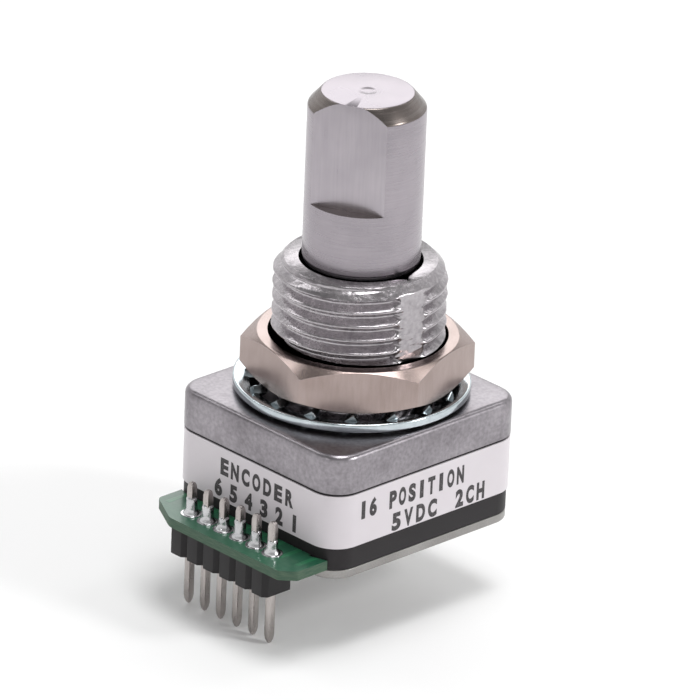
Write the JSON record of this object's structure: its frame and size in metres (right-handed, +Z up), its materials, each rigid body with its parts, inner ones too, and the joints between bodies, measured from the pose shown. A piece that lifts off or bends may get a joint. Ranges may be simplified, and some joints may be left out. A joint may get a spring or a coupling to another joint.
{
  "type": "rotary encoder",
  "caption": "Panel-mount optical rotary encoder with a flatted shaft, detents, a push switch, a threaded bushing with nut and lock washer, and a pin header.",
  "frame": {"origin": "on the shaft's axis, at the housing's top face, where the panel or lock washer seats", "axes": "+Z up the shaft, -Y towards the pin header, +X to the right as seen from the header"},
  "size_m": [0.013, 0.0164, 0.0285],
  "materials": {
    "zinc_casting": "as-cast zinc alloy, satin",
    "nickel_brass": "nickel-plated brass, satin",
    "zinc_plated_steel": "bright zinc plate",
    "black_nylon": "moulded, matte",
    "dark_nylon": "moulded, matte",
    "white_nylon": "moulded, matte",
    "stainless": "rolled sheet",
    "label_film": "printed film, satin",
    "board_green": "solder mask",
    "clear_package": "clear epoxy",
    "dark_package": "epoxy, matte",
    "tinned": "tin plated, satin",
    "solder": "solder, bright",
    "gold": "gold flash",
    "spring_steel": "polished",
    "shaft_steel": "turned, fine"
  },
  "bodies": {
    "housing": {"bushing_housing": "zinc_casting", "mounting_nut": "nickel_brass", "lock_washer": "zinc_plated_steel", "code_housing": "black_nylon", "backplate": "stainless", "backplate_rivets": "stainless", "label": "label_film", "circuit_board": "board_green", "emitter_board": "board_green", "ir_emitters": "clear_package", "phototransistors": "dark_package", "chip_resistors": "dark_package", "header_insulator": "black_nylon", "header_pins": "tinned", "solder_joints": "solder", "solder_pads": "solder", "link_pins": "tinned", "dome_retainer": "black_nylon", "dome_contact": "gold", "snap_dome": "spring_steel"},
    "code_wheel": {"code_rotor": "dark_nylon"},
    "shaft": {"shaft": "shaft_steel", "detent_rotor": "black_nylon", "retaining_ring": "spring_steel", "detent_spring": "spring_steel"},
    "front_ball": {"detent_ball_a": "spring_steel"},
    "rear_ball": {"detent_ball_b": "spring_steel"},
    "plunger": {"pushbutton_plunger": "white_nylon"}
  },
  "joints": [
    {"name": "shaft_turn", "type": "hinge", "parent": "housing", "child": "code_wheel", "pos_m": [0, 0, 0], "axis": [0, 0, 1], "continuous": true},
    {"name": "shaft_press", "type": "slide", "parent": "code_wheel", "child": "shaft", "axis": [0, 0, -1], "range_m": [0, 0.00043], "stiffness_N_per_m": 3000, "springref_m": -0.0005},
    {"name": "front_ball_slide", "type": "slide", "parent": "shaft", "child": "front_ball", "axis": [1, 0, 0], "range_m": [0, 0.00025]},
    {"name": "rear_ball_slide", "type": "slide", "parent": "shaft", "child": "rear_ball", "axis": [-1, 0, 0], "range_m": [0, 0.00025]},
    {"name": "plunger_press", "type": "slide", "parent": "housing", "child": "plunger", "axis": [0, 0, -1], "range_m": [0, 0.00043], "deforming": ["snap_dome"]}
  ],
  "couplings": [
    {"joint": "plunger_press", "follows": "shaft_press", "ratio": 1}
  ]
}
